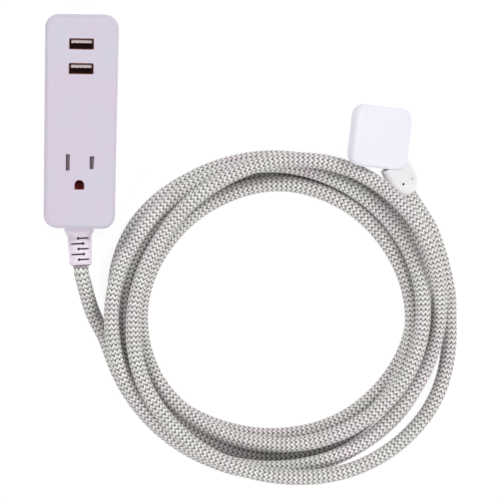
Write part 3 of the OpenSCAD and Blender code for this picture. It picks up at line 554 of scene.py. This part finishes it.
shutter_plastic = dyed("shutter_plastic", (0.80, 0.67, 0.73), (0.88, 0.75, 0.80), 0.5)
carrier_plastic = dyed("carrier_plastic", (0.86, 0.04, 0.05), (0.92, 0.055, 0.065), 0.45)
finished("shutter", shutter_plastic, body="shutter")
dress(nodes["outlet_carrier"], carrier_plastic)

brass = Nodes("brass")
brass.colour(brass.cloud(400, (0.60, 0.44, 0.20), (0.72, 0.55, 0.28), detail=3.0))
brass.grain(900, strength=0.05, distance=0.00002)
brass.surface(0.3, metallic=1.0)
dress(nodes["neutral_contact"], brass)
dress(nodes["hot_contact"], brass)

# The ground sleeve is copper alloy, reddened by age.
dark_copper = Nodes("dark_copper")
dark_copper.colour(dark_copper.cloud(400, (0.88, 0.05, 0.055), (0.97, 0.07, 0.08), detail=3.0))
dark_copper.surface(0.45, metallic=0.4)
dress(nodes["ground_contact"], dark_copper)

# The spring stands between the shutter's socket and the end of the front cover's guide frame. The
# shutter's stroke presses it together.
spring = finished("shutter_spring", steel)
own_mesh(spring)

# ---- Charger board ------------------------------------------------------------------------------
# A lacquered green board on the rear cover's posts, with a transformer, two can capacitors, a chip and an
# inductor soldered to it. It carries the ports.

black_sleeve = dyed("black_sleeve", (0.02, 0.02, 0.025), (0.035, 0.035, 0.04), 0.4)
for name, finish in (
        ("charger_board", dyed("board_lacquer", (0.02, 0.14, 0.06), (0.03, 0.18, 0.08), 0.35)),
        ("transformer", dyed("yellow_tape", (0.62, 0.48, 0.06), (0.70, 0.55, 0.09), 0.45)),
        ("inductor", dyed("enamelled_copper", (0.45, 0.18, 0.06), (0.55, 0.24, 0.09), 0.3)),
        ("input_capacitor", black_sleeve), ("output_capacitor", black_sleeve),
        ("control_chip", black_sleeve)):
    dress(nodes[name], finish)

# ---- Clamp and inner wires ----------------------------------------------------------------------
# A moulded bar with two steel screws grips the sheath in the rear cover's cradle. Three wires in plastic
# sleeves go on from it to the contacts.

for name, finish in (
        ("cord_clamp", dyed("clamp_plastic", (0.74, 0.73, 0.70), (0.80, 0.79, 0.76), 0.45)),
        ("clamp_screws", steel), ("hot_wire", black_sleeve),
        ("ground_wire", dyed("green_sleeve", (0.03, 0.20, 0.06), (0.04, 0.25, 0.08), 0.4)),
        ("neutral_wire", dyed("white_sleeve", (0.78, 0.78, 0.76), (0.83, 0.83, 0.81), 0.4))):
    dress(nodes[name], finish)

# ---- Plug ---------------------------------------------------------------------------------------
# A flat white moulding with soft edges and two parting lines, over a hard core that holds two blades and
# a ground pin. Its short flexible neck leaves one corner and grips the cord; two core holes show in it.

# The parting lines are at these shares of the thickness, down from the face.
line_half_width = 0.04
line_stops = []
for middle in (0.40, 0.67):
    line_stops += [(middle - line_half_width, (1.0, 1.0, 1.0)), (middle, (0.77, 0.77, 0.79)),
                   (middle + line_half_width, (1.0, 1.0, 1.0))]
white = Nodes("white_plastic")
side_height = white.parts(white.place_in(plug_middle, plug_frame.to_euler()))[2]
parting_lines = white.ramp(white.math("DIVIDE", side_height, -plug_thickness * MM), line_stops)
white.colour(white.times(parting_lines, white.cloud(30, (0.875, 0.86, 0.945), (0.90, 0.885, 0.96))))
white.grain(2400, strength=0.08, distance=0.00004)
white.uneven_gloss(200, spread=0.1, least=0.4)
white.shader.inputs["Specular IOR Level"].default_value = 0.3

soft_white = Nodes("soft_white")
soft_white.colour(soft_white.cloud(60, (0.86, 0.84, 0.85), (0.90, 0.885, 0.90)))
soft_white.grain(1800, strength=0.12, distance=0.00005, detail=3.0)
soft_white.surface(0.48, specular=0.4)

plug_pieces = {name: finished(name, finish) for name, finish, slot in (
    ("plug_housing", white, "white_plastic"), ("plug_core", white, "white_plastic"),
    ("plug_relief", soft_white, "white_plastic"), ("neutral_blade", steel, "steel"),
    ("hot_blade", steel, "steel"), ("ground_pin", steel, "steel"))}
dress(nodes["plug_crimps"], brass)

# The walls and floors of the two core holes carry painted shade: near black in the wider, deep hole,
# and grey in the shallow one. They are the faces near a hole's axis that lie between the neck's middle
# and its top.
neck_mesh = plug_pieces["plug_relief"].data
neck_side = Vector((0, 0, 1)).cross(neck_axis)
neck_thickness = 6.8
neck_top = neck_thickness / 2 - 0.02
hole_along = 11
hole_play = 0.05
for place_in_list, (name, hole_across, hole_diameter, low, high) in enumerate((
        ("deep_hole_painted_shade", -1.7, 1.3, (0.035, 0.028, 0.035), (0.06, 0.05, 0.06)),
        ("shallow_hole_painted_shade", 4.2, 0.9, (0.40, 0.37, 0.41), (0.48, 0.45, 0.49))), 1):
    painted_hole_shade = Nodes(name)
    painted_hole_shade.colour(painted_hole_shade.cloud(900, low, high))
    painted_hole_shade.surface(0.8, specular=0.1)
    neck_mesh.materials.append(painted_hole_shade.material)
    for face in neck_mesh.polygons:
        spot = plug_frame.inverted() @ (face.center / MM - plug_middle) - neck_root
        off_axis = math.hypot(spot.dot(neck_side) - hole_across, spot.dot(neck_axis) - hole_along)
        if off_axis < hole_diameter / 2 + hole_play and 0 < spot.z < neck_top:
            face.material_index = place_in_list

# ---- Table and light ----------------------------------------------------------------------------
# A white table with four large soft lamps low round its corners, those on the right stronger, and a weak
# one high above. Little light falls straight down, so it is dark between the turns.

table_size = 6
table_gap = 0.0002
bpy.ops.mesh.primitive_plane_add(size=table_size, location=(aim.x, aim.y, -table_gap))
table = bpy.context.object
table.name = "table"

# Seen straight or in a mirror the table glows, so it is white and its shadows are faint. It throws light
# back on the cord as plain white paper does.
paper = Nodes("paper")
ray = paper.add("ShaderNodeLightPath")
seen = paper.math("MAXIMUM", ray.outputs["Is Camera Ray"], paper.math(
    "MAXIMUM", ray.outputs["Is Glossy Ray"], ray.outputs["Is Transmission Ray"]))
paper.colour(paper.ramp(seen, ((0.0, (0.8, 0.8, 0.8)), (1.0, (0.14, 0.14, 0.14)))))
paper.shader.inputs["Emission Color"].default_value = (1, 1, 1, 1)
paper.link(paper.math("MULTIPLY", seen, 0.92), paper.shader.inputs["Emission Strength"])
paper.surface(1.0, specular=0.0)
dress(table, paper)

world_strength = 0.07
world = bpy.data.worlds.new("world")
world.use_nodes = True
world.node_tree.nodes["Background"].inputs[0].default_value = (1, 1, 1, 1)
world.node_tree.nodes["Background"].inputs[1].default_value = world_strength
bpy.context.scene.world = world

# Each lamp's place in metres from the middle of the view on the table, and its power in watts.
lamp_size = 0.9
for name, place, power in (
        ("far_left_lamp", (-1.3, 1.3, 1.25), 19), ("far_right_lamp", (1.3, 1.3, 1.25), 24.5),
        ("near_left_lamp", (-1.39, -1.39, 1.04), 19.5), ("near_right_lamp", (1.39, -1.39, 1.04), 23.5),
        ("top_lamp", (0, 0.32, 3), 7)):
    lamp_data = bpy.data.lights.new(name, "AREA")
    lamp_data.size = lamp_size
    lamp_data.energy = power
    lamp = bpy.data.objects.new(name, lamp_data)
    lamp.location = aim + Vector(place)
    lamp.rotation_mode = "QUATERNION"
    lamp.rotation_quaternion = Vector(place).to_track_quat("Z", "Y")
    bpy.context.scene.collection.objects.link(lamp)

bpy.context.scene.view_settings.view_transform = "Standard"
